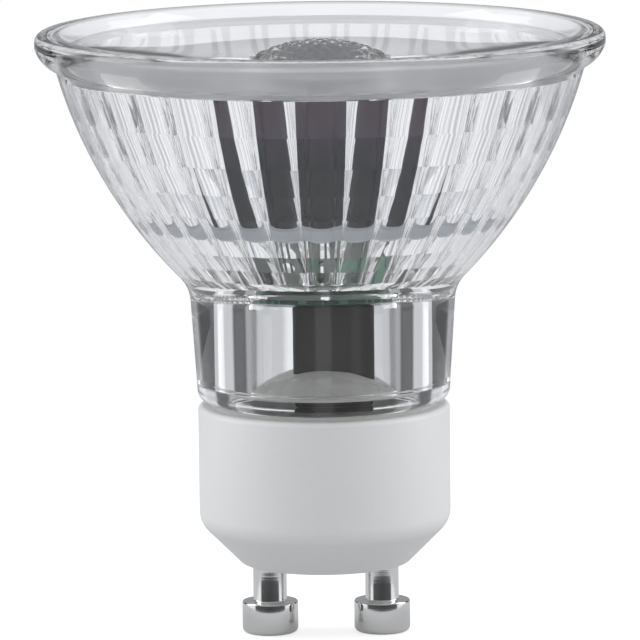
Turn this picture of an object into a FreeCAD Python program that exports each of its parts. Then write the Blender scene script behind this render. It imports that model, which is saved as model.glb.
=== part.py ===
import FreeCAD, Part
import math
import os

# GU10 spotlight lamp with a clear pressed-glass body, standing lens up.
# Millimetres, +Z along the lamp axis, origin on the axis in the plane of the pin ends.
# The two pins lie on the X axis and a column of ribs faces -Y.

# Pins
pin_pitch = 10.0
pin_head_diameter = 5.0
pin_head_length = 2.9
pin_head_chamfer = 0.4
pin_shank_diameter = 3.0
pin_exposed_length = 6.5
pin_hole_clearance = 0.02
rivet_diameter = 4.2
rivet_length = 0.5
wire_bore_diameter = 1.0
wire_bore_end = 4.4

# White base
base_diameter = 22.4
base_length = 14.2
base_floor = 2.0
base_shoulder_round = 1.6
base_lip_round = 0.5
rivet_margin = 0.25

# Cement between base and glass
cement_thickness = 0.3
cement_land = 1.1

# Film capacitor in the neck
capacitor_width = 6.8
capacitor_depth = 4.8
capacitor_lift = 0.1
capacitor_offset = 0.85
capacitor_round = 0.5

# Potting compound in the foot of the neck
potting_lift = 1.3
potting_land = 0.3
potting_rise = 2.3

# Glass neck
neck_foot_diameter = 22.3
neck_top_diameter = 23.5
neck_length = 9.2
neck_foot_round = 1.1
bore_diameter = 12.8
foot_bore_diameter = 17.0
shelf_land = 3.6

# Glass bowl
waist_height = 2.1
waist_spread = 0.95
waist_radius = 3.5
bowl_height = 18.6
bowl_bulge_radius = 43.0
bowl_wall = 2.0
shelf_rise = 3.05
rib_columns = 36
rib_rows = 8
rib_row_ratio = 0.9
rib_bulge = 0.28

# Glass rim
rim_diameter = 50.4
rim_overhang = 1.8
rim_height = 3.1
rim_side_height = 1.9
rim_side_bulge = 0.32
rim_round = 0.7
crown_width = 2.3
mouth_land = 3.0
rib_margin = 1.0

# Front lens and its adhesive
adhesive_thickness = 0.1
adhesive_margin = 0.1
lens_clearance = 0.1
lens_recess_depth = 1.0
lens_thickness = 1.2
lens_lip_width = 0.8
lens_dish_drop = 1.4
lens_hole_clearance = 0.1

# Driver board and the parts on it
board_drop = 1.65
board_thickness = 0.8
board_clearance = 0.2
rectifier_width = 2.6
rectifier_length = 3.2
rectifier_height = 2.0
rectifier_place = (-0.58, 0.1)
controller_width = 2.9
controller_length = 1.9
controller_height = 1.5
controller_place = (-0.26, -0.55)
diode_width = 2.0
diode_length = 1.6
diode_height = 1.8
diode_place = (0.63, 0.19)
lead_reach = 0.5
lead_thickness = 0.25
lead_width = 0.5
lead_pitch = 1.27
resistor_width = 2.0
resistor_length = 1.25
resistor_height = 0.55
resistor_places = ((0.03, 0.0), (0.145, 0.31), (-0.68, -0.28))
chip_capacitor_width = 1.6
chip_capacitor_length = 1.0
chip_capacitor_height = 0.9
chip_capacitor_places = ((-0.58, 0.53), (-0.1, -0.24))
choke_diameter = 4.2
choke_height = 3.0
choke_flange = 0.7
choke_waist_diameter = 2.2
choke_place = (0.42, -0.39)
winding_clearance = 0.05
winding_setback = 0.2

# Wires
wire_diameter = 0.7
wire_pitch = 5.9
wire_gap = 0.3
wire_clearance = 0.1
wire_bend = 1.2
wire_tail = 0.6
wire_straight = 1.2
fuse_diameter = 2.2
fuse_length = 5.0
fuse_round = 0.35
fuse_lift = 0.9
led_wire_diameter = 0.9
led_wire_angle = 14.0
led_wire_tail = 0.3
led_wire_margin = 0.3

# Light source
plate_thickness = 1.2
plate_lift = 4.4
plate_clearance = 0.05
substrate_side = 6.0
substrate_thickness = 0.6
phosphor_diameter = 4.4
phosphor_height = 0.5

# Collimator and its holder
collimator_diameter = 12.1
collimator_flange = 1.4
collimator_foot_diameter = 6.4
collimator_bulge = 0.55
collimator_recess_diameter = 4.0
collimator_recess_depth = 1.5
collimator_gap = 0.3
dome_height = 1.5
pebble_pitch = 1.1
pebble_radius = 0.8
pebble_height = 0.15
pebble_rings = 5
holder_wall = 0.8
holder_overhang = 0.25
holder_clearance = 0.2


V = FreeCAD.Vector
UP = V(0, 0, 1)


def turned(start, *steps):
    """Solid turned about Z from (radius, height) points; a pair of points is an arc's middle and end."""
    here = V(start[0], 0, start[1])
    first = here
    edges = []
    for step in steps:
        if isinstance(step[0], tuple):
            middle = V(step[0][0], 0, step[0][1])
            there = V(step[1][0], 0, step[1][1])
            edges.append(Part.Arc(here, middle, there).toShape())
        else:
            there = V(step[0], 0, step[1])
            edges.append(Part.makeLine(here, there))
        here = there
    edges.append(Part.makeLine(here, first))
    return Part.Face(Part.Wire(edges)).revolve(V(0, 0, 0), UP, 360)


def bulged(start, end, sagitta):
    """Middle and end of an arc from start to end; a rise in height with a positive sagitta bulges outwards."""
    run = end[0] - start[0]
    rise = end[1] - start[1]
    chord = math.hypot(run, rise)
    middle = (
        (start[0] + end[0]) / 2 + sagitta * rise / chord,
        (start[1] + end[1]) / 2 - sagitta * run / chord,
    )
    return (middle, end)


def sagitta_of(start, end, radius):
    """Height of an arc of this radius over the chord from start to end."""
    half = math.hypot(end[0] - start[0], end[1] - start[1]) / 2
    return radius - math.sqrt(radius**2 - half**2)


def cap_sagitta(edge, height):
    """Sagitta of half the profile of a spherical cap of this edge radius and height."""
    return sagitta_of((edge, 0), (0, height), (edge**2 + height**2) / (2 * height))


def rounded(corner, before, after, radius):
    """Start point, and arc, of a round of this radius in a corner of a profile."""
    away = math.hypot(before[0] - corner[0], before[1] - corner[1])
    back = ((before[0] - corner[0]) / away, (before[1] - corner[1]) / away)
    away = math.hypot(after[0] - corner[0], after[1] - corner[1])
    ahead = ((after[0] - corner[0]) / away, (after[1] - corner[1]) / away)
    half = math.acos(back[0] * ahead[0] + back[1] * ahead[1]) / 2
    reach = radius / math.tan(half)
    first = (corner[0] + back[0] * reach, corner[1] + back[1] * reach)
    last = (corner[0] + ahead[0] * reach, corner[1] + ahead[1] * reach)
    inward = math.hypot(back[0] + ahead[0], back[1] + ahead[1])
    depth = radius / math.sin(half) - radius
    middle = (
        corner[0] + (back[0] + ahead[0]) / inward * depth,
        corner[1] + (back[1] + ahead[1]) / inward * depth,
    )
    return first, (middle, last)


def rod(x, y, low, high, radius):
    """Upright round bar."""
    return Part.makeCylinder(radius, high - low, V(x, y, low), UP)


def block(x, y, low, size):
    """Upright box with its underside centred on x, y, low."""
    return Part.makeBox(size[0], size[1], size[2], V(x - size[0] / 2, y - size[1] / 2, low))


def bent_wire(points, radius, bend):
    """Round wire along straight runs joined by bends."""
    edges = []
    here = points[0]
    for before, corner, after in zip(points, points[1:], points[2:]):
        back = (before - corner).normalize()
        ahead = (after - corner).normalize()
        half = back.getAngle(ahead) / 2
        reach = bend / math.tan(half)
        first = corner + back * reach
        last = corner + ahead * reach
        middle = corner + (back + ahead).normalize() * (bend / math.sin(half) - bend)
        edges.append(Part.makeLine(here, first))
        edges.append(Part.Arc(first, middle, last).toShape())
        here = last
    edges.append(Part.makeLine(here, points[-1]))
    section = Part.Wire(Part.makeCircle(radius, points[0], points[1] - points[0]))
    return Part.Wire(edges).makePipeShell([section], True, True)


# Heights of the stack, from the pin ends up
base_bottom = pin_exposed_length
base_top = base_bottom + base_length
glass_foot = base_top + cement_thickness
foot_bore_top = glass_foot + potting_lift + potting_land
neck_top = glass_foot + neck_length
bowl_bottom = neck_top + waist_height
bowl_top = bowl_bottom + bowl_height
rim_top = bowl_top + rim_height
lens_face = rim_top - lens_recess_depth
dish_bottom = lens_face - lens_dish_drop
shelf = neck_top + shelf_rise
board_under = shelf - board_drop
board_top = board_under + board_thickness
capacitor_height = board_under - glass_foot - capacitor_lift
plate_under = shelf + plate_lift
plate_top = plate_under + plate_thickness

# Radii shared by pieces that fit together
base_radius = base_diameter / 2
base_foot_radius = pin_pitch / 2 + pin_head_diameter / 2
rivet_reach = pin_pitch / 2 + rivet_diameter / 2 + rivet_margin
neck_foot_radius = neck_foot_diameter / 2
cement_radius = neck_foot_radius - neck_foot_round
base_bore_radius = cement_radius - cement_land
neck_top_radius = neck_top_diameter / 2
bore_radius = bore_diameter / 2
foot_bore_radius = foot_bore_diameter / 2
shelf_radius = bore_radius + shelf_land
board_radius = bore_radius - board_clearance
rim_radius = rim_diameter / 2
bowl_bottom_radius = neck_top_radius + waist_spread
bowl_top_radius = rim_radius - rim_overhang
mouth_radius = rim_radius - mouth_land
lens_radius = mouth_radius - lens_clearance
lip_radius = lens_radius - lens_lip_width
collimator_radius = collimator_diameter / 2
holder_radius = collimator_radius + holder_overhang
holder_bore_radius = holder_radius - holder_wall
wire_radius = wire_diameter / 2
led_wire_radius = led_wire_diameter / 2
led_wire_ring = holder_bore_radius - led_wire_margin - led_wire_radius
led_wire_x = led_wire_ring * math.sin(math.radians(led_wire_angle))
led_wire_y = led_wire_ring * math.cos(math.radians(led_wire_angle))
wire_y = capacitor_depth / 2 + wire_gap + wire_radius

# Ribbed inside of the bowl: rows on an arc held one wall inside the outer arc
outer_low = (bowl_bottom_radius, bowl_bottom)
outer_high = (bowl_top_radius, bowl_top)
bowl_sagitta = sagitta_of(outer_low, outer_high, bowl_bulge_radius)
bowl_middle = bulged(outer_low, outer_high, bowl_sagitta)[0]
chord_middle = ((outer_low[0] + outer_high[0]) / 2, (outer_low[1] + outer_high[1]) / 2)
arc_centre = (
    bowl_middle[0] + (chord_middle[0] - bowl_middle[0]) / bowl_sagitta * bowl_bulge_radius,
    bowl_middle[1] + (chord_middle[1] - bowl_middle[1]) / bowl_sagitta * bowl_bulge_radius,
)
arc_high = math.atan2(outer_high[1] - arc_centre[1], outer_high[0] - arc_centre[0])
arc_low = math.atan2(outer_low[1] - arc_centre[1], outer_low[0] - arc_centre[0])
inner_bulge_radius = bowl_bulge_radius - bowl_wall
rib_top = arc_high - rib_margin / inner_bulge_radius
rings = []
for row in range(rib_rows + 1):
    share = (1 - rib_row_ratio**row) / (1 - rib_row_ratio**rib_rows)
    turn = rib_top + (arc_low - rib_top) * share
    rings.append(
        (
            arc_centre[0] + inner_bulge_radius * math.cos(turn),
            arc_centre[1] + inner_bulge_radius * math.sin(turn),
        )
    )
rings.append((shelf_radius, shelf))
mouth_floor = rings[0][1]
lens_seat = mouth_floor + adhesive_thickness


def cavity_radius(height):
    """Distance from the axis to the crest of a rib at this height."""
    for above, below in zip(rings, rings[1:]):
        if below[1] <= height <= above[1]:
            share = (height - below[1]) / (above[1] - below[1])
            return below[0] + (above[0] - below[0]) * share
    return shelf_radius


def rib_ring(crest, height):
    """Closed outline of ribs that bulge towards the axis, their crests at this distance from it."""
    half = math.pi / rib_columns
    valley = crest / (math.cos(half) - rib_bulge * math.sin(half))
    arcs = []
    for column in range(rib_columns):
        turn = 2 * half * column
        first = V(valley * math.cos(turn - half), valley * math.sin(turn - half), height)
        middle = V(crest * math.cos(turn), crest * math.sin(turn), height)
        last = V(valley * math.cos(turn + half), valley * math.sin(turn + half), height)
        arcs.append(Part.Arc(first, middle, last).toShape())
    return Part.Wire(arcs)


plate_radius = cavity_radius(plate_under) - plate_clearance
lens_hole_radius = collimator_radius + lens_hole_clearance
collimator_seat = dish_bottom - collimator_flange
dome_radius = (collimator_radius**2 + dome_height**2) / (2 * dome_height)
dome_top = dish_bottom + dome_height
light_top = plate_top + substrate_thickness + phosphor_height


def make_pin(x):
    """Twist-lock pin: round head, shank through the base floor, riveted collar and a bore for the wire."""
    head = pin_head_diameter / 2
    shank = pin_shank_diameter / 2
    bore = wire_bore_diameter / 2
    floor_top = base_bottom + base_floor
    collar_top = floor_top + rivet_length
    body = turned(
        (0, 0),
        (head - pin_head_chamfer, 0),
        (head, pin_head_chamfer),
        (head, pin_head_length),
        (shank, pin_head_length),
        (shank, floor_top),
        (rivet_diameter / 2, floor_top),
        (rivet_diameter / 2, collar_top),
        (bore, collar_top),
        (bore, wire_bore_end),
        (0, wire_bore_end),
    )
    body.translate(V(x, 0, 0))
    return body


def make_base():
    """White cup with a 45 degree underside, a flat foot round the pins and an open top."""
    chamfer_top = base_bottom + base_radius - base_foot_radius
    floor_top = base_bottom + base_floor
    cone_top = floor_top + base_bore_radius - rivet_reach
    shoulder, shoulder_arc = rounded(
        (base_radius, chamfer_top), (base_foot_radius, base_bottom), (base_radius, base_top), base_shoulder_round
    )
    lip, lip_arc = rounded(
        (base_radius, base_top), (base_radius, chamfer_top), (base_bore_radius, base_top), base_lip_round
    )
    body = turned(
        (0, base_bottom),
        (base_foot_radius, base_bottom),
        shoulder,
        shoulder_arc,
        lip,
        lip_arc,
        (base_bore_radius, base_top),
        (base_bore_radius, cone_top),
        (rivet_reach, floor_top),
        (0, floor_top),
    )
    hole = pin_shank_diameter / 2 + pin_hole_clearance
    for x in (-pin_pitch / 2, pin_pitch / 2):
        body = body.cut(rod(x, 0, base_bottom, floor_top, hole))
    return body


def make_cement():
    """Ring bonding the flat of the glass foot to the rim of the base."""
    return turned(
        (base_bore_radius, base_top),
        (cement_radius, base_top),
        (cement_radius, glass_foot),
        (base_bore_radius, glass_foot),
    )


def make_glass():
    """Pressed body: thick neck with a stepped bore, waist, ribbed bowl and rounded rim in one piece."""
    foot_corner = (neck_foot_radius, glass_foot)
    top_of_neck = (neck_top_radius, neck_top)
    foot, foot_arc = rounded(foot_corner, (0, glass_foot), top_of_neck, neck_foot_round)
    waist_sagitta = sagitta_of(top_of_neck, outer_low, waist_radius)
    rim_side = (rim_radius, bowl_top + rim_side_height)
    crown_inner = rim_radius - crown_width
    crown, crown_arc = rounded((rim_radius, rim_top), rim_side, (crown_inner, rim_top), rim_round)
    body = turned(
        (0, glass_foot),
        foot,
        foot_arc,
        top_of_neck,
        bulged(top_of_neck, outer_low, -waist_sagitta),
        bulged(outer_low, outer_high, bowl_sagitta),
        bulged(outer_high, rim_side, rim_side_bulge),
        crown,
        crown_arc,
        (0, rim_top),
    )
    bore = rod(0, 0, glass_foot, shelf, bore_radius)
    foot_bore = rod(0, 0, glass_foot, foot_bore_top, foot_bore_radius)
    mouth = turned(
        (0, mouth_floor),
        (mouth_radius, mouth_floor),
        (mouth_radius, lens_face),
        (crown_inner, rim_top),
        (0, rim_top),
    )
    ribs = Part.makeLoft([rib_ring(*ring) for ring in rings], True, True)
    return body.cut(bore).cut(foot_bore).cut(mouth).cut(ribs)


def make_adhesive():
    """Clear ring between the ledge in the mouth of the glass and the lip of the front lens."""
    inner = lip_radius + adhesive_margin
    outer = lens_radius - adhesive_margin
    return turned((inner, mouth_floor), (outer, mouth_floor), (outer, lens_seat), (inner, lens_seat))


def make_front_lens():
    """Cover set into the rim: face dished down to a hole for the dome, and a lip that stands on the ledge."""
    slope = lens_dish_drop / (lens_radius - lens_hole_radius)
    lip_root = lens_face - lens_thickness - slope * lens_lip_width
    return turned(
        (lens_hole_radius, dish_bottom - lens_thickness),
        (lip_radius, lip_root),
        (lip_radius, lens_seat),
        (lens_radius, lens_seat),
        (lens_radius, lens_face),
        (lens_hole_radius, dish_bottom),
    )


def make_collimator():
    """Solid lens: hollowed foot over the light source, flared side, tall flange and pebbled dome."""
    foot = light_top + collimator_gap
    recess = collimator_recess_diameter / 2
    foot_edge = (collimator_foot_diameter / 2, foot)
    side_top = (holder_bore_radius - holder_clearance, collimator_seat)
    shoulder = (collimator_radius, dish_bottom)
    recess_top = (0, foot + collimator_recess_depth)
    body = turned(
        recess_top,
        bulged(recess_top, (recess, foot), -cap_sagitta(recess, collimator_recess_depth)),
        foot_edge,
        bulged(foot_edge, side_top, collimator_bulge),
        (collimator_radius, collimator_seat),
        shoulder,
        bulged(shoulder, (0, dome_top), sagitta_of(shoulder, (0, dome_top), dome_radius)),
    )
    centre = dome_top - dome_radius
    reach = dome_radius + pebble_height - pebble_radius
    pebbles = []
    for ring in range(pebble_rings + 1):
        tilt = ring * pebble_pitch / dome_radius
        count = max(1, 6 * ring)
        for place in range(count):
            turn = 2 * math.pi * place / count
            out = reach * math.sin(tilt)
            at = V(out * math.cos(turn), out * math.sin(turn), centre + reach * math.cos(tilt))
            pebbles.append(Part.makeSphere(pebble_radius, at))
    return body.fuse(pebbles)


def make_holder():
    """Dark tube that stands on the plate and carries the collimator by its flange."""
    return turned(
        (holder_bore_radius, plate_top),
        (holder_radius, plate_top),
        (holder_radius, collimator_seat),
        (holder_bore_radius, collimator_seat),
    )


def make_plate():
    """Metal disc that drops into the bowl until its lower edge meets the ribs."""
    body = rod(0, 0, plate_under, plate_top, plate_radius)
    for x in (-led_wire_x, led_wire_x):
        body = body.cut(rod(x, led_wire_y, plate_under, plate_top, led_wire_radius + wire_clearance))
    return body


def make_board():
    """Round board in the bore on top of the capacitor, drilled for the two lead wires."""
    body = rod(0, 0, board_under, board_top, board_radius)
    for side in (-1, 1):
        x = capacitor_offset + side * wire_pitch / 2
        body = body.cut(rod(x, wire_y, board_under, board_top, wire_radius + wire_clearance))
    return body


def make_film_capacitor():
    """Box with rounded upright edges, soldered to the underside of the board."""
    size = (capacitor_width, capacitor_depth, capacitor_height)
    body = block(capacitor_offset, 0, board_under - capacitor_height, size)
    upright = [edge for edge in body.Edges if edge.BoundBox.ZLength > capacitor_height / 2]
    return body.makeFillet(capacitor_round, upright)


def make_potting():
    """Plug that fills the foot bore up to its step and domes up in the bore round the capacitor and wires."""
    low = glass_foot + potting_lift
    edge = (bore_radius, foot_bore_top)
    top = (0, foot_bore_top + potting_rise)
    body = turned(
        (0, low),
        (foot_bore_radius, low),
        (foot_bore_radius, foot_bore_top),
        edge,
        bulged(edge, top, cap_sagitta(bore_radius, potting_rise)),
    )
    for side in (-1, 1):
        x = capacitor_offset + side * wire_pitch / 2
        body = body.cut(rod(x, wire_y, low, top[1], wire_radius))
    return body.cut(make_film_capacitor())


def on_board(place):
    """Position on the board from shares of its radius."""
    return place[0] * board_radius, place[1] * board_radius


def make_package(place, width, length, height):
    """Moulded package on two rows of bent leads along X."""
    x, y = on_board(place)
    body = block(x, y, board_top + lead_thickness, (width, length, height - lead_thickness))
    count = max(2, int(length / lead_pitch))
    pitch = length / count
    for row in range(count):
        at = y + (row - (count - 1) / 2) * pitch
        foot = block(x, at, board_top, (width + 2 * lead_reach, lead_width, lead_thickness))
        body = body.fuse(foot)
    return body.removeSplitter()


def make_chips(places, width, length, height):
    """Small flat-ended chips soldered straight to the board."""
    return Part.makeCompound([block(*on_board(place), board_top, (width, length, height)) for place in places])


def make_choke_core():
    """Ferrite drum with two flanges."""
    x, y = on_board(choke_place)
    flange = choke_diameter / 2
    waist = choke_waist_diameter / 2
    top = board_top + choke_height
    body = turned(
        (0, board_top),
        (flange, board_top),
        (flange, board_top + choke_flange),
        (waist, board_top + choke_flange),
        (waist, top - choke_flange),
        (flange, top - choke_flange),
        (flange, top),
        (0, top),
    )
    body.translate(V(x, y, 0))
    return body


def make_choke_winding():
    """Enamelled coil between the flanges of the drum."""
    x, y = on_board(choke_place)
    inner = choke_waist_diameter / 2 + winding_clearance
    outer = choke_diameter / 2 - winding_setback
    low = board_top + choke_flange + winding_clearance
    high = board_top + choke_height - choke_flange - winding_clearance
    body = turned((inner, low), (outer, low), (outer, high), (inner, high))
    body.translate(V(x, y, 0))
    return body


def make_lead(side):
    """Wire from a pin bore, leaning over in the base, up through the potting and the board."""
    x = side * pin_pitch / 2
    board_x = capacitor_offset + side * wire_pitch / 2
    lean_from = base_bottom + base_floor + rivet_length + fuse_lift + fuse_length + fuse_lift
    points = [
        V(x, 0, wire_bore_end),
        V(x, 0, lean_from),
        V(board_x, wire_y, glass_foot - wire_straight),
        V(board_x, wire_y, board_top + wire_tail),
    ]
    return bent_wire(points, wire_radius, wire_bend)


def make_fuse():
    """Fusible resistor in line with the left lead, standing over its pin."""
    low = base_bottom + base_floor + rivet_length + fuse_lift
    body = rod(-pin_pitch / 2, 0, low, low + fuse_length, fuse_diameter / 2)
    body = body.makeFillet(fuse_round, body.Edges)
    return body.fuse(make_lead(-1)).removeSplitter()


def make_led_wire(side):
    """Sleeved wire from the board up through the plate."""
    return rod(side * led_wire_x, led_wire_y, board_top, plate_top + led_wire_tail, led_wire_radius)


def make_substrate():
    """Square ceramic carrier of the light source."""
    return block(0, 0, plate_top, (substrate_side, substrate_side, substrate_thickness))


def make_phosphor():
    """Low round dome of phosphor on the carrier."""
    low = plate_top + substrate_thickness
    edge = phosphor_diameter / 2
    return turned((0, low), (edge, low), bulged((edge, low), (0, light_top), cap_sagitta(edge, phosphor_height)))


pieces = {
    "pin_left": make_pin(-pin_pitch / 2),
    "pin_right": make_pin(pin_pitch / 2),
    "base": make_base(),
    "base_cement": make_cement(),
    "glass_reflector": make_glass(),
    "lens_adhesive": make_adhesive(),
    "front_lens": make_front_lens(),
    "fuse_resistor": make_fuse(),
    "lead_wire": make_lead(1),
    "film_capacitor": make_film_capacitor(),
    "potting_compound": make_potting(),
    "driver_board": make_board(),
    "bridge_rectifier": make_package(rectifier_place, rectifier_width, rectifier_length, rectifier_height),
    "driver_controller": make_package(controller_place, controller_width, controller_length, controller_height),
    "freewheel_diode": make_package(diode_place, diode_width, diode_length, diode_height),
    "chip_resistors": make_chips(resistor_places, resistor_width, resistor_length, resistor_height),
    "chip_capacitors": make_chips(
        chip_capacitor_places, chip_capacitor_width, chip_capacitor_length, chip_capacitor_height
    ),
    "choke_core": make_choke_core(),
    "choke_winding": make_choke_winding(),
    "led_wire_positive": make_led_wire(1),
    "led_wire_negative": make_led_wire(-1),
    "led_plate": make_plate(),
    "led_substrate": make_substrate(),
    "led_phosphor": make_phosphor(),
    "collimator_holder": make_holder(),
    "collimator_lens": make_collimator(),
}

os.makedirs("parts", exist_ok=True)
for name, shape in pieces.items():
    shape.exportStep("parts/" + name + ".step")
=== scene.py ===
import math

import bmesh
import bpy
from mathutils import Matrix, Vector, noise


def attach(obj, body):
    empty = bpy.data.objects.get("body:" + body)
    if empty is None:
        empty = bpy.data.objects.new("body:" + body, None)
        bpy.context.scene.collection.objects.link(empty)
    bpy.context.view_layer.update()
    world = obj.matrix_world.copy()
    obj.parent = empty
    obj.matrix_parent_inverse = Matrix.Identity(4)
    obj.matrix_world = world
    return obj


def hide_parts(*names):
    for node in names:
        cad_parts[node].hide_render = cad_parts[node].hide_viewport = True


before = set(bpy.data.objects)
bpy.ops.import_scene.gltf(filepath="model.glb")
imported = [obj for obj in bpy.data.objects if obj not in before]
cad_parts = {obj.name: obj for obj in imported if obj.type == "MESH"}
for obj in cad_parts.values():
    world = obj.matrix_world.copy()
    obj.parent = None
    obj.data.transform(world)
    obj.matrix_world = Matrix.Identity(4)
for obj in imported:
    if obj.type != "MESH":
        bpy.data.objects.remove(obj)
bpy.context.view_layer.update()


# Twist-lock pins
# Two bright plated pins, turned from bar: a round head on a thinner shank that goes
# through the floor of the base and is riveted over inside.
def draw(bm, start, *moves):
    """Draws a turning profile in millimetres: (r, z) is a straight run, (r, z, radius, steps) an arc."""
    here = bm.verts.new((start[0] / 1000, 0, start[1] / 1000))
    for move in moves:
        end = Vector((move[0] / 1000, 0, move[1] / 1000))
        if len(move) == 2:
            here = bmesh.ops.extrude_vert_indiv(bm, verts=[here])["verts"][0]
            here.co = end
            continue
        chord = end - here.co
        radius = abs(move[2]) / 1000
        side = math.copysign(1, move[2])
        across = Vector((chord.z, 0, -chord.x)).normalized()
        rise = math.sqrt(radius**2 - (chord.length / 2) ** 2)
        swept = bmesh.ops.spin(
            bm,
            geom=[here],
            cent=here.co + chord / 2 - across * side * rise,
            axis=(0, -side, 0),
            angle=2 * math.asin(chord.length / 2 / radius),
            steps=move[3],
        )
        here = [v for v in swept["geom_last"] if isinstance(v, bmesh.types.BMVert)][0]


def turn(bm, steps):
    """Turns the drawn profile once round the lamp axis and closes it."""
    bmesh.ops.spin(
        bm,
        geom=bm.verts[:] + bm.edges[:],
        cent=(0, 0, 0),
        axis=(0, 0, 1),
        angle=2 * math.pi,
        steps=steps,
        use_merge=True,
    )
    bmesh.ops.remove_doubles(bm, verts=bm.verts, dist=1e-6)
    bmesh.ops.dissolve_degenerate(bm, edges=bm.edges, dist=1e-7)
    bmesh.ops.recalc_face_normals(bm, faces=bm.faces)


def place(bm, name, material, crease=30):
    """Makes the piece's object, smooth except at edges sharper than crease."""
    for face in bm.faces:
        face.smooth = True
    for edge in bm.edges:
        if edge.is_manifold and edge.calc_face_angle() > math.radians(crease):
            edge.smooth = False
    mesh = bpy.data.meshes.new(name)
    bm.to_mesh(mesh)
    bm.free()
    mesh.materials.append(material)
    piece = bpy.data.objects.new(name, mesh)
    bpy.context.scene.collection.objects.link(piece)
    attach(piece, "root")
    return piece


def add(tree, kind, inputs, **settings):
    """Adds a shader node; an input is a number, a colour or another node's output."""
    node = tree.nodes.new(kind)
    for key, value in settings.items():
        setattr(node, key, value)
    for key, value in inputs.items():
        if isinstance(value, bpy.types.NodeSocket):
            tree.links.new(value, node.inputs[key])
        else:
            node.inputs[key].default_value = value
    return node


def blank(name):
    """A new material with its node tree and main shader."""
    material = bpy.data.materials.new(name)
    material.use_nodes = True
    tree = material.node_tree
    return material, tree, tree.nodes["Principled BSDF"]


def on_piece(tree):
    """The place on the piece, in the lamp's frame."""
    return add(tree, "ShaderNodeTexCoord", {}).outputs["Object"]


def raised(tree, shader, height, strength):
    """Bumps the surface up to a tenth of a millimetre."""
    lift = add(tree, "ShaderNodeBump", {"Height": height, "Strength": strength, "Distance": 0.0001})
    tree.links.new(lift.outputs[0], shader.inputs["Normal"])


def grain(tree, shader, scale, dark, light, smooth, rough, bump, stretch=(1, 1, 1)):
    """Mottles colour and roughness with one noise on the piece and raises it by bump."""
    spread = add(tree, "ShaderNodeMapping", {"Vector": on_piece(tree), "Scale": stretch})
    mottle = add(
        tree, "ShaderNodeTexNoise", {"Vector": spread.outputs[0], "Scale": scale, "Detail": 5.0}
    ).outputs["Fac"]
    colours = add(
        tree,
        "ShaderNodeMix",
        {"Factor": mottle, 6: (*dark, 1), 7: (*light, 1)},
        data_type="RGBA",
    )
    sheen = add(
        tree,
        "ShaderNodeMapRange",
        {"Value": mottle, "From Min": 0.3, "From Max": 0.7, "To Min": smooth, "To Max": rough},
    )
    tree.links.new(colours.outputs[2], shader.inputs["Base Color"])
    tree.links.new(sheen.outputs[0], shader.inputs["Roughness"])
    raised(tree, shader, mottle, bump)
    return colours.outputs[2]


pin_metal, tree, shader = blank("bright turned plating")
shader.inputs["Metallic"].default_value = 1.0
grain(
    tree,
    shader,
    scale=900,
    dark=(0.74, 0.74, 0.735),
    light=(0.86, 0.86, 0.85),
    smooth=0.04,
    rough=0.1,
    bump=0.1,
    stretch=(0.03, 0.03, 1),
)

pin_offset = 5.0
head_radius = 2.5
head_length = 2.9
shank_radius = 1.5
base_floor_top = 8.5
wire_hole_radius = 0.5
wire_hole_end = 4.4

for side, node in ((-1, "pin_left"), (1, "pin_right")):
    bm = bmesh.new()
    draw(
        bm,
        (0, 0),
        (1.9, 0),
        (2.36, 0.16, 0.75, 4),
        (head_radius, 0.55, 0.6, 4),
        (head_radius, 2.72),
        (2.32, head_length, 0.18, 3),
        (1.62, head_length),
        (shank_radius, 3.02, -0.12, 3),
        (shank_radius, base_floor_top),
        (2.05, base_floor_top),
        (2.1, 8.6),
        (1.9, 8.95),
        (wire_hole_radius, 9.0),
        (wire_hole_radius, wire_hole_end),
        (0, wire_hole_end),
    )
    turn(bm, 64)
    bmesh.ops.translate(bm, verts=bm.verts, vec=(side * pin_offset / 1000, 0, 0))
    pin = place(bm, node + "_turned", pin_metal)
    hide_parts(node)

# White base
# Satin white moulded cup with a flat foot round the pins, a sloped underside with a soft
# shoulder, and a plain round wall that the glass is cemented to.
white_base, tree, shader = blank("satin white moulding")
grain(
    tree,
    shader,
    scale=2600,
    dark=(0.83, 0.84, 0.83),
    light=(0.88, 0.885, 0.88),
    smooth=0.36,
    rough=0.46,
    bump=0.06,
)

base_foot = 6.5
base_top = 20.7
base_radius = 11.2
foot_radius = 7.35
cup_radius = 8.95

bm = bmesh.new()
draw(
    bm,
    (0, base_foot),
    (foot_radius, base_foot),
    (7.62, 6.62, 0.36, 4),
    (10.526, 9.526),
    (base_radius, 11.153, 2.3, 12),
    (base_radius, 20.2),
    (10.7, base_top, 0.5, 6),
    (cup_radius, base_top),
    (cup_radius, 10.1),
    (foot_radius, base_floor_top),
    (0, base_floor_top),
)
turn(bm, 160)
base = place(bm, "base_moulding", white_base)
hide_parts("base")


# Cement ring
# Thin pale bed of cement between the rim of the base and the flat of the glass foot,
# pressed out when the two are put together.
def dress(node, material):
    """Gives a node's own mesh a material."""
    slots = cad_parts[node].data.materials
    slots.clear()
    slots.append(material)


pale_cement, tree, shader = blank("pale cement")
grain(
    tree,
    shader,
    scale=2200,
    dark=(0.66, 0.65, 0.62),
    light=(0.82, 0.81, 0.78),
    smooth=0.7,
    rough=0.9,
    bump=0.4,
)
dress("base_cement", pale_cement)

# Lead wires and fuse resistor
# Tinned copper wires from the pins up to the driver board; the left one carries a
# lacquered fusible resistor that stands over its pin.
tinned_wire, tree, shader = blank("tinned copper")
shader.inputs["Metallic"].default_value = 1.0
grain(
    tree,
    shader,
    scale=1500,
    dark=(0.62, 0.61, 0.58),
    light=(0.82, 0.82, 0.8),
    smooth=0.2,
    rough=0.35,
    bump=0.1,
    stretch=(1, 1, 0.1),
)
dress("lead_wire", tinned_wire)

resistor_top = 14.9
bare_wire = (0.72, 0.71, 0.69, 1)

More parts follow.
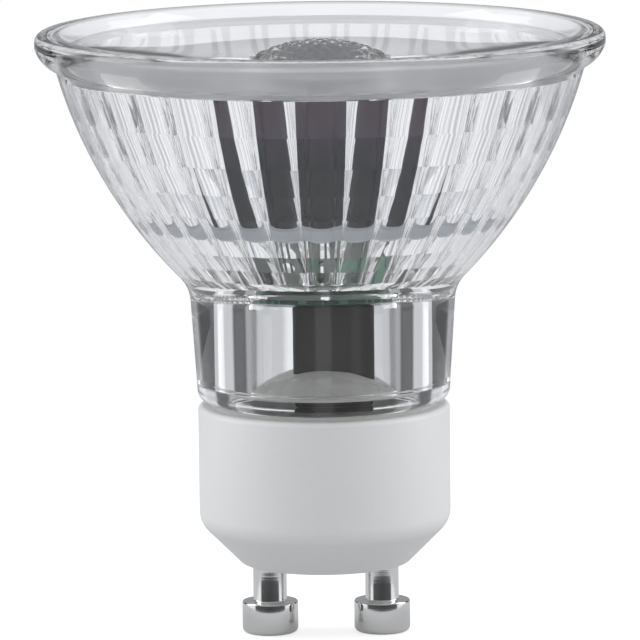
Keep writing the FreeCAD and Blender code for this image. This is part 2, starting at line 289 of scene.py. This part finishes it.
fuse_body, tree, shader = blank("lacquered resistor on tinned wire")
lacquer = grain(
    tree,
    shader,
    scale=1200,
    dark=(0.36, 0.42, 0.33),
    light=(0.5, 0.56, 0.45),
    smooth=0.3,
    rough=0.45,
    bump=0.2,
)
height = add(tree, "ShaderNodeSeparateXYZ", {"Vector": on_piece(tree)}).outputs["Z"]
wire_end = add(
    tree, "ShaderNodeMath", {0: height, 1: resistor_top / 1000}, operation="GREATER_THAN"
).outputs[0]
bare = add(tree, "ShaderNodeMix", {"Factor": wire_end, 6: lacquer, 7: bare_wire}, data_type="RGBA")
tree.links.new(bare.outputs[2], shader.inputs["Base Color"])
tree.links.new(wire_end, shader.inputs["Metallic"])
dress("fuse_resistor", fuse_body)

# Film capacitor
# Box capacitor dipped in dark grey-brown resin, which hangs under the driver board in the
# neck with its foot in the potting.
capacitor_brown, tree, shader = blank("dipped brown resin")
grain(
    tree,
    shader,
    scale=700,
    dark=(0.024, 0.018, 0.018),
    light=(0.038, 0.03, 0.029),
    smooth=0.35,
    rough=0.5,
    bump=0.25,
    stretch=(1, 1, 0.6),
)

bm = bmesh.new()
bmesh.ops.create_cube(bm, size=1.0)
bmesh.ops.scale(bm, verts=bm.verts, vec=(0.0068, 0.0048, 0.0105))
bmesh.ops.translate(bm, verts=bm.verts, vec=(0.00085, 0, 0.02635))
bmesh.ops.bevel(
    bm,
    geom=bm.edges[:],
    offset=0.0005,
    segments=5,
    profile=0.5,
    affect="EDGES",
    material=-1,
    clamp_overlap=True,
)
bmesh.ops.recalc_face_normals(bm, faces=bm.faces)
capacitor = place(bm, "film_capacitor_dipped", capacitor_brown)
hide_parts("film_capacitor")

# Potting compound
# Cast grey-beige compound that seals the foot of the neck; it set with a domed top round
# the capacitor and the wires.
potting_grey, tree, shader = blank("cast grey compound")
shader.inputs["Subsurface Weight"].default_value = 0.2
shader.inputs["Subsurface Radius"].default_value = (0.002, 0.002, 0.0018)
grain(
    tree,
    shader,
    scale=500,
    dark=(0.66, 0.65, 0.62),
    light=(0.78, 0.77, 0.74),
    smooth=0.2,
    rough=0.35,
    bump=0.2,
)

potting_foot = 22.3
potting_radius = 8.38
dome_foot_radius = 6.38
dome_foot = 22.6
dome_top = 24.85
ripple = 0.00006

bm = bmesh.new()
draw(
    bm,
    (0, potting_foot),
    (potting_radius, potting_foot),
    (potting_radius, 22.58),
    (dome_foot_radius, dome_foot),
    (0, dome_top, 10.2, 32),
)
turn(bm, 144)
for vert in bm.verts:
    if vert.co.z > (dome_foot + 0.05) / 1000:
        vert.co.z += ripple * noise.noise(vert.co * 700)
potting = place(bm, "potting_dome", potting_grey)
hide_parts("potting_compound")

# Driver board
# Round green-lacquered board in the bore on top of the capacitor, with fine copper tracks
# under the lacquer and small soldered parts on its top.
board_green, tree, shader = blank("lacquered board")
place_on = on_piece(tree)
tracks = add(
    tree,
    "ShaderNodeTexBrick",
    {
        "Vector": place_on,
        "Scale": 420.0,
        "Mortar Size": 0.035,
        "Brick Width": 0.9,
        "Row Height": 0.42,
        "Color1": (0.01, 0.07, 0.038, 1),
        "Color2": (0.013, 0.085, 0.046, 1),
        "Mortar": (0.05, 0.22, 0.13, 1),
    },
)
mottle = add(tree, "ShaderNodeTexNoise", {"Vector": place_on, "Scale": 1800.0, "Detail": 3.0})
tree.links.new(tracks.outputs["Color"], shader.inputs["Base Color"])
raised(tree, shader, mottle.outputs["Fac"], 0.1)
shader.inputs["Roughness"].default_value = 0.3

board_radius = 6.2
board_under = 31.62
board_top = 32.4

bm = bmesh.new()
draw(
    bm,
    (0, board_under),
    (6.12, board_under),
    (board_radius, 31.7),
    (board_radius, 32.32),
    (6.12, board_top),
    (0, board_top),
)
turn(bm, 128)
board = place(bm, "driver_board_lacquered", board_green)
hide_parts("driver_board")

for node, name, dark, light, smooth, rough in (
    ("bridge_rectifier", "moulded grey, rectifier", (0.3, 0.34, 0.3), (0.4, 0.44, 0.4), 0.4, 0.55),
    ("driver_controller", "moulded grey, controller", (0.3, 0.34, 0.31), (0.4, 0.44, 0.41), 0.4, 0.55),
    ("freewheel_diode", "moulded grey, diode", (0.31, 0.34, 0.3), (0.41, 0.44, 0.4), 0.4, 0.55),
    ("chip_resistors", "printed ceramic chip", (0.02, 0.02, 0.024), (0.06, 0.06, 0.066), 0.2, 0.35),
    ("chip_capacitors", "fired cream chip", (0.62, 0.58, 0.46), (0.74, 0.7, 0.58), 0.4, 0.55),
    ("choke_core", "ground ferrite", (0.33, 0.35, 0.32), (0.42, 0.44, 0.4), 0.45, 0.6),
):
    finish, tree, shader = blank(name)
    grain(tree, shader, 3000, dark, light, smooth, rough, bump=0.2)
    dress(node, finish)

enamelled_wire, tree, shader = blank("green enamelled turns")
grain(
    tree,
    shader,
    scale=1600,
    dark=(0.16, 0.36, 0.26),
    light=(0.34, 0.56, 0.44),
    smooth=0.22,
    rough=0.38,
    bump=0.5,
    stretch=(0.02, 0.02, 4),
)
dress("choke_winding", enamelled_wire)


# Light source
# Polished aluminium plate with a satin edge across the bottom of the bowl. A white ceramic
# carrier with a low dome of phosphor sits in its middle, fed by two sleeved wires.
def finish_beyond(piece, material, radius):
    """Gives the faces farther than radius from the lamp axis, in millimetres, a second material."""
    piece.data.materials.append(material)
    for face in piece.data.polygons:
        if math.hypot(face.center.x, face.center.y) > radius / 1000:
            face.material_index = 1


plate_metal, tree, shader = blank("polished aluminium")
shader.inputs["Metallic"].default_value = 1.0
grain(
    tree,
    shader,
    scale=1200,
    dark=(0.8, 0.81, 0.83),
    light=(0.88, 0.89, 0.91),
    smooth=0.05,
    rough=0.12,
    bump=0.04,
)
satin_edge, tree, shader = blank("satin aluminium edge")
shader.inputs["Metallic"].default_value = 0.6
grain(
    tree,
    shader,
    scale=1200,
    dark=(0.68, 0.73, 0.78),
    light=(0.8, 0.84, 0.88),
    smooth=0.45,
    rough=0.6,
    bump=0.1,
    stretch=(1, 1, 0.2),
)

plate_radius = 14.6
plate_under = 37.65
plate_top = 38.85

bm = bmesh.new()
draw(
    bm,
    (0, plate_under),
    (14.4, plate_under),
    (plate_radius, 37.85),
    (plate_radius, 38.65),
    (14.4, plate_top),
    (0, plate_top),
)
turn(bm, 144)
plate = place(bm, "led_plate_turned", plate_metal)
finish_beyond(plate, satin_edge, 14.3)
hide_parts("led_plate")

for node, name, dark, light, smooth, rough in (
    ("led_substrate", "fired white carrier", (0.74, 0.74, 0.71), (0.84, 0.84, 0.81), 0.3, 0.45),
    ("led_phosphor", "phosphor", (0.72, 0.52, 0.08), (0.82, 0.64, 0.14), 0.25, 0.4),
    ("led_wire_positive", "pale sleeve", (0.68, 0.67, 0.62), (0.8, 0.79, 0.74), 0.35, 0.5),
    ("led_wire_negative", "green sleeve", (0.3, 0.48, 0.4), (0.42, 0.6, 0.52), 0.35, 0.5),
):
    finish, tree, shader = blank(name)
    grain(tree, shader, 2400, dark, light, smooth, rough, bump=0.15)
    dress(node, finish)


# Collimator holder
# Dark moulded tube, pale inside, that stands on the plate and carries the collimator by its
# flange; its colour runs from brown at the top to near black below, the dark lower part being painted
# shade.
def shades(tree, factor, stops):
    """Colours that run through (position, colour) stops."""
    ramp = add(tree, "ShaderNodeValToRGB", {"Fac": factor})
    elements = ramp.color_ramp.elements
    while len(elements) < len(stops):
        elements.new(0.5)
    for element, (position, colour) in zip(elements, stops):
        element.position = position
        element.color = (*colour, 1)
    return ramp.outputs[0]


holder_foot = 38.87
holder_top = 50.2
holder_radius = 6.3
holder_bore = 5.5
lining_radius = 5.9
pale_lining = (0.9, 0.9, 0.92, 1)

holder_dark, tree, shader = blank("dark moulded tube")
shader.inputs["Specular IOR Level"].default_value = 0.2
mottled = grain(
    tree,
    shader,
    scale=900,
    dark=(0.7, 0.7, 0.7),
    light=(0.9, 0.9, 0.9),
    smooth=0.4,
    rough=0.55,
    bump=0.1,
)
spot = add(tree, "ShaderNodeSeparateXYZ", {"Vector": on_piece(tree)})
level = add(
    tree,
    "ShaderNodeMapRange",
    {"Value": spot.outputs["Z"], "From Min": plate_top / 1000, "From Max": holder_top / 1000},
)
# Colour ramp up the tube: brown, maroon and purple tones above, near black lower down, where the darkening
# is painted shade.
tube_tones_and_painted_shade = shades(
    tree,
    level.outputs[0],
    (
        (0.0, (0.03, 0.032, 0.046)),
        (0.4, (0.018, 0.018, 0.03)),
        (0.62, (0.11, 0.095, 0.14)),
        (0.84, (0.105, 0.056, 0.07)),
        (0.97, (0.17, 0.135, 0.09)),
    ),
)
# Mottle times the ramp, so the painted shade low on the tube is carried into the base colour.
mottled_tones_and_shade = add(
    tree,
    "ShaderNodeMix",
    {"Factor": 1.0, 6: tube_tones_and_painted_shade, 7: mottled},
    data_type="RGBA",
    blend_type="MULTIPLY",
)
flat = add(tree, "ShaderNodeCombineXYZ", {"X": spot.outputs["X"], "Y": spot.outputs["Y"]})
out = add(tree, "ShaderNodeVectorMath", {0: flat.outputs[0]}, operation="LENGTH")
inside = add(
    tree, "ShaderNodeMath", {0: out.outputs["Value"], 1: lining_radius / 1000}, operation="LESS_THAN"
)
lined = add(
    tree,
    "ShaderNodeMix",
    {"Factor": inside.outputs[0], 6: mottled_tones_and_shade.outputs[2], 7: pale_lining},
    data_type="RGBA",
)
tree.links.new(lined.outputs[2], shader.inputs["Base Color"])

bm = bmesh.new()
draw(
    bm,
    (holder_bore, holder_foot),
    (holder_radius, holder_foot),
    (holder_radius, 50.0),
    (6.1, holder_top, 0.2, 3),
    (5.7, holder_top),
    (holder_bore, 50.0, 0.2, 3),
    (holder_bore, holder_foot),
)
turn(bm, 96)
holder = place(bm, "collimator_holder_tube", holder_dark)
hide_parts("collimator_holder")


# Collimator lens
# Clear moulded lens over the light source: hollow foot, flared polished side, seating
# flange and a dome covered in small round pebbles that mix the light.
def clear(name, tint, ior, waviness):
    """Clear material with a slight tint and faint moulded waves."""
    material, tree, shader = blank(name)
    shader.inputs["IOR"].default_value = ior
    shader.inputs["Transmission Weight"].default_value = 1.0
    mottle = add(
        tree, "ShaderNodeTexNoise", {"Vector": on_piece(tree), "Scale": 260.0, "Detail": 2.0}
    ).outputs["Fac"]
    dimmed = [channel * 0.985 for channel in tint]
    colours = add(
        tree,
        "ShaderNodeMix",
        {"Factor": mottle, 6: (*dimmed, 1), 7: (*tint, 1)},
        data_type="RGBA",
    )
    haze = add(tree, "ShaderNodeMapRange", {"Value": mottle, "To Min": 0.0, "To Max": 0.012})
    tree.links.new(colours.outputs[2], shader.inputs["Base Color"])
    tree.links.new(haze.outputs[0], shader.inputs["Roughness"])
    raised(tree, shader, mottle, waviness)
    return material


clear_optic = clear("clear pebbled optic", tint=(0.97, 0.975, 0.98), ior=1.49, waviness=0.05)

flange_radius = 6.05
dome_radius = 12.95
dome_edge = 51.6
optic_top = 53.1
dome_centre = Vector((0, 0, (optic_top - dome_radius) / 1000))
pebble_rings = 6
pebble_pitch = 1.1
pebble_radius = 0.5
pebble_rise = 0.0002

bm = bmesh.new()
draw(
    bm,
    (0, 41.75),
    (2.0, 40.25, 2.083, 12),
    (3.2, 40.25),
    (5.3, 50.2, 55, 24),
    (flange_radius, 50.22),
    (flange_radius, dome_edge),
    (0, optic_top, dome_radius, 48),
)
turn(bm, 144)
pebbles = []
for ring in range(pebble_rings):
    tilt = ring * pebble_pitch / dome_radius
    count = max(1, 6 * ring)
    for step in range(count):
        swing = 2 * math.pi * step / count
        pebbles.append(
            Vector((math.sin(tilt) * math.cos(swing), math.sin(tilt) * math.sin(swing), math.cos(tilt)))
        )
for vert in bm.verts:
    if vert.co.z > (dome_edge + 0.01) / 1000:
        reach = (vert.co - dome_centre).normalized()
        nearest = min((reach - pebble).length for pebble in pebbles) * dome_radius
        vert.co += reach * pebble_rise * max(-1.0, 0.75 - (nearest / pebble_radius) ** 2)
optic = place(bm, "collimator_pebbled", clear_optic, crease=40)
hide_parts("collimator_lens")

# Glass reflector body
# Pressed clear glass in one piece: thick neck with a stepped bore, waist, bowl with 36
# columns and 8 rows of raised ribs inside, and a rounded rim that the front lens sits in.
clear_glass = clear("clear pressed glass", tint=(0.975, 0.98, 0.982), ior=1.5, waviness=0.06)

glass_foot = 21.02
foot_bore = 8.5
neck_bore = 6.4
bore_step = 22.6
shelf = 33.25
shelf_edge = 10.0
bowl_low = Vector((12.7, 32.3))
bowl_high = Vector((23.4, 50.9))
bowl_bulge = 43.0
bowl_wall = 2.0
rim_radius = 25.2
rim_top = 54.0
rim_bore = 22.2
rib_rows = 8
row_ratio = 0.9
row_bow = 18.0
rib_pitch = math.radians(10)
rib_bulge = 0.34

chord = bowl_high - bowl_low
inward = Vector((-chord.y, chord.x)).normalized()
centre_off = math.sqrt(bowl_bulge**2 - (chord.length / 2) ** 2)
bowl_centre = bowl_low + chord / 2 + inward * centre_off
arc_top = math.atan2(bowl_high.y - bowl_centre.y, bowl_high.x - bowl_centre.x)
arc_low = math.atan2(bowl_low.y - bowl_centre.y, bowl_low.x - bowl_centre.x)
inner_radius = bowl_bulge - bowl_wall
rib_top = arc_top - 1.0 / inner_radius
rows = []
for row in range(rib_rows + 1):
    swing = rib_top + (arc_low - rib_top) * (1 - row_ratio**row) / (1 - row_ratio**rib_rows)
    rows.append(bowl_centre + inner_radius * Vector((math.cos(swing), math.sin(swing))))
rows.append(Vector((shelf_edge, shelf)))
rib_height = rows[0].y

bm = bmesh.new()
draw(
    bm,
    (foot_bore, glass_foot),
    (10.05, glass_foot),
    (11.22, 22.1, 1.1, 8),
    (11.75, 30.2),
    (*bowl_low, -3.5, 10),
    (*bowl_high, bowl_bulge, 40),
    (rim_radius, 52.8, 2.84, 10),
    (rim_radius, 53.3),
    (24.5, rim_top, 0.7, 10),
    (23.1, rim_top),
    (22.8, 53.85, 0.4, 4),
    (22.28, 53.15),
    (rim_bore, 53.0),
    (rim_bore, rib_height),
    (rows[0].x, rib_height),
    *((row.x, row.y, row_bow, 4) for row in rows[1:]),
    (6.55, shelf),
    (neck_bore, 33.1),
    (neck_bore, 22.7),
    (6.5, bore_step, -0.1, 3),
    (8.4, bore_step),
    (foot_bore, 22.5, 0.1, 3),
    (foot_bore, glass_foot),
)
turn(bm, 288)

half = rib_pitch / 2
valley = 1 / (math.cos(half) - rib_bulge * math.sin(half))
rise = valley * math.cos(half) - 1
rib_radius = ((valley * math.sin(half)) ** 2 + rise**2) / (2 * rise)
rib_centre = 1 + rib_radius
for vert in bm.verts:
    spot = Vector((math.hypot(vert.co.x, vert.co.y), vert.co.z)) * 1000
    in_rows = shelf - 0.001 < spot.y < rib_height + 0.001 and spot.x > shelf_edge - 0.1
    if in_rows and (spot - bowl_centre).length < inner_radius + 0.4:
        swing = math.atan2(vert.co.y, vert.co.x)
        off = swing - rib_pitch * round(swing / rib_pitch)
        across = rib_centre * math.sin(off)
        grow = rib_centre * math.cos(off) - math.sqrt(rib_radius**2 - across**2)
        vert.co.x *= grow
        vert.co.y *= grow
        vert.tag = True
heights = [row.y / 1000 for row in rows]
for edge in bm.edges:
    first, last = edge.verts
    if first.tag and last.tag and abs(first.co.z - last.co.z) < 1e-7:
        if min(abs(first.co.z - height) for height in heights) < 1e-6:
            edge.smooth = False
glass = place(bm, "glass_reflector_pressed", clear_glass)
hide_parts("glass_reflector")

# Lens adhesive
# Thin clear bead, squeezed flat, that holds the lip of the front lens on the ledge in the
# rim of the glass.
clear_adhesive = clear("clear adhesive", tint=(0.95, 0.955, 0.955), ior=1.45, waviness=0.1)

bead_foot = 50.48
bead_top = 50.57
bead_inside = 21.4
bead_outside = 22.0

bm = bmesh.new()
draw(
    bm,
    (bead_inside, bead_foot),
    (bead_outside, bead_foot),
    (bead_outside, bead_top),
    (bead_inside, bead_top),
    (bead_inside, bead_foot),
)
turn(bm, 160)
bead = place(bm, "lens_adhesive_bead", clear_adhesive)
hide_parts("lens_adhesive")

# Front lens
# Clear moulded cover set into the rim: face dished down to a round hole that shows the
# pebbled dome, and a matt lip round its edge that stands on the ledge.
clear_cover = clear("clear moulded cover", tint=(0.97, 0.972, 0.98), ior=1.49, waviness=0.03)
matt_lip, tree, shader = blank("matt moulded lip")
shader.inputs["IOR"].default_value = 1.49
shader.inputs["Transmission Weight"].default_value = 0.5
grain(
    tree,
    shader,
    scale=900,
    dark=(0.93, 0.935, 0.945),
    light=(0.97, 0.972, 0.98),
    smooth=0.36,
    rough=0.44,
    bump=0.05,
)

hole_radius = 6.15
hole_under = 50.42
lip_inside = 21.3
lip_outside = 22.1
lip_foot = 50.59

bm = bmesh.new()
draw(
    bm,
    (hole_radius, hole_under),
    (21.1, 51.72),
    (lip_inside, 51.52, 0.2, 3),
    (lip_inside, lip_foot),
    (lip_outside, lip_foot),
    (lip_outside, 52.85),
    (21.95, 52.98, 0.15, 3),
    (6.3, 51.62),
    (hole_radius, 51.47),
    (hole_radius, hole_under),
)
turn(bm, 192)
cover = place(bm, "front_lens_cover", clear_cover)
finish_beyond(cover, matt_lip, 21.1)
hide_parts("front_lens")

# Studio
# Pale round floor under the lamp and a white room round it. Clear pieces show a room that is
# white behind the lamp, with dark panels to the sides; bright metal shows white side panels.
bm = bmesh.new()
bmesh.ops.create_circle(bm, cap_ends=True, segments=96, radius=0.12)
mesh = bpy.data.meshes.new("floor")
bm.to_mesh(mesh)
bm.free()
floor = bpy.data.objects.new("floor", mesh)
bpy.context.scene.collection.objects.link(floor)
floor_white, tree, shader = blank("pale sweep")
shader.inputs["Base Color"].default_value = (0.52, 0.52, 0.52, 1)
shader.inputs["Roughness"].default_value = 0.9
shader.inputs["Specular IOR Level"].default_value = 0.0
shader.inputs["Emission Color"].default_value = (1, 1, 1, 1)
paths = add(tree, "ShaderNodeLightPath", {})
glow = add(tree, "ShaderNodeMath", {0: paths.outputs["Is Camera Ray"], 1: 0.68}, operation="MULTIPLY")
for kind, level in (("Is Transmission Ray", 0.2), ("Is Glossy Ray", 0.1)):
    glow = add(
        tree,
        "ShaderNodeMath",
        {0: paths.outputs[kind], 1: level, 2: glow.outputs[0]},
        operation="MULTIPLY_ADD",
    )
tree.links.new(glow.outputs[0], shader.inputs["Emission Strength"])
mesh.materials.append(floor_white)

world = bpy.data.worlds.new("white room")
bpy.context.scene.world = world
world.use_nodes = True
tree = world.node_tree
paths = add(tree, "ShaderNodeLightPath", {})
room_place = add(tree, "ShaderNodeTexCoord", {}).outputs["Generated"]
way = add(tree, "ShaderNodeSeparateXYZ", {"Vector": room_place})
swing = add(tree, "ShaderNodeMath", {0: way.outputs["X"], 1: way.outputs["Y"]}, operation="ARCTAN2")
swing = add(tree, "ShaderNodeMath", {0: swing.outputs[0]}, operation="ABSOLUTE")
swing = add(tree, "ShaderNodeMath", {0: swing.outputs[0], 1: math.pi}, operation="DIVIDE").outputs[0]


def bands(*stops):
    """Grey levels round the room, from straight behind the lamp (0) to the camera's side (1)."""
    greys = [(position, (level * 0.955, level * 0.965, level)) for position, level in stops]
    return shades(tree, swing, greys)


def between(value, low, high):
    """0 at low and 1 at high, straight between them."""
    span = {"Value": value, "From Min": low, "From Max": high}
    return add(tree, "ShaderNodeMapRange", span).outputs[0]


def either(choice, first, second):
    """First where choice is 0, second where it is 1."""
    return add(tree, "ShaderNodeMix", {"Factor": choice, 6: first, 7: second}, data_type="RGBA").outputs[2]


overhead = between(way.outputs["Z"], 0.3, 0.6)
through = bands(
    (0, 1.0),
    (0.055, 1.0),
    (0.07, 0.66),
    (0.19, 0.6),
    (0.22, 0.1),
    (0.345, 0.1),
    (0.37, 0.38),
    (0.52, 0.38),
    (0.55, 0.06),
    (0.7, 0.06),
    (0.73, 0.4),
    (0.77, 0.4),
    (0.8, 0.06),
    (0.93, 0.06),
    (0.95, 0.8),
    (1.0, 0.8),
)
through = either(overhead, through, (0.17, 0.17, 0.18, 1))
steep = between(way.outputs["Z"], -0.2, -0.25)
ahead = between(swing, 0.55, 0.65)
near_floor = add(tree, "ShaderNodeMath", {0: steep, 1: ahead}, operation="MULTIPLY")
through = either(near_floor.outputs[0], through, (0.82, 0.82, 0.85, 1))
mirrored = bands(
    (0, 0.35),
    (0.2, 0.35),
    (0.24, 0.1),
    (0.33, 0.1),
    (0.36, 1.0),
    (0.62, 1.0),
    (0.67, 0.1),
    (1.0, 0.06),
)
mirrored = either(overhead, mirrored, (0.45, 0.45, 0.46, 1))
soft = bands((0, 1.0), (0.5, 1.0), (1.0, 0.56))
room = either(paths.outputs["Is Transmission Ray"], mirrored, through)
room = either(paths.outputs["Diffuse Depth"], room, soft)
room = either(paths.outputs["Is Camera Ray"], room, (1, 1, 1, 1))
tree.links.new(room, tree.nodes["Background"].inputs["Color"])

for x, name in ((-0.5, "left box"), (0.5, "right box")):
    lamp = bpy.data.lights.new(name, "AREA")
    lamp.shape = "RECTANGLE"
    lamp.size = 0.25
    lamp.size_y = 0.5
    lamp.energy = 0.85
    box = bpy.data.objects.new(name, lamp)
    box.location = (x, 0.05, 0.3)
    box.rotation_euler = (Vector((0, 0, 0.03)) - box.location).to_track_quat("-Z", "Y").to_euler()
    bpy.context.scene.collection.objects.link(box)

# Camera
# A long lens in front of the lamp and a little above it, tipped down at the lamp and rolled
# very slightly.
tip = math.radians(90 - 8.7)
roll = math.radians(-0.65)
lens = bpy.data.cameras.new("camera")
lens.lens = 384.5
lens.sensor_width = 36
lens.clip_start = 0.05
lens.clip_end = 20
camera = bpy.data.objects.new("camera", lens)
camera.location = (-0.00027, -0.6, 0.11995)
camera.rotation_euler = (Matrix.Rotation(tip, 3, "X") @ Matrix.Rotation(roll, 3, "Z")).to_euler()
bpy.context.scene.collection.objects.link(camera)
bpy.context.scene.camera = camera
bpy.context.scene.view_settings.view_transform = "Standard"
bpy.context.scene.cycles.max_bounces = 32
bpy.context.scene.cycles.transmission_bounces = 32
bpy.context.scene.cycles.glossy_bounces = 12
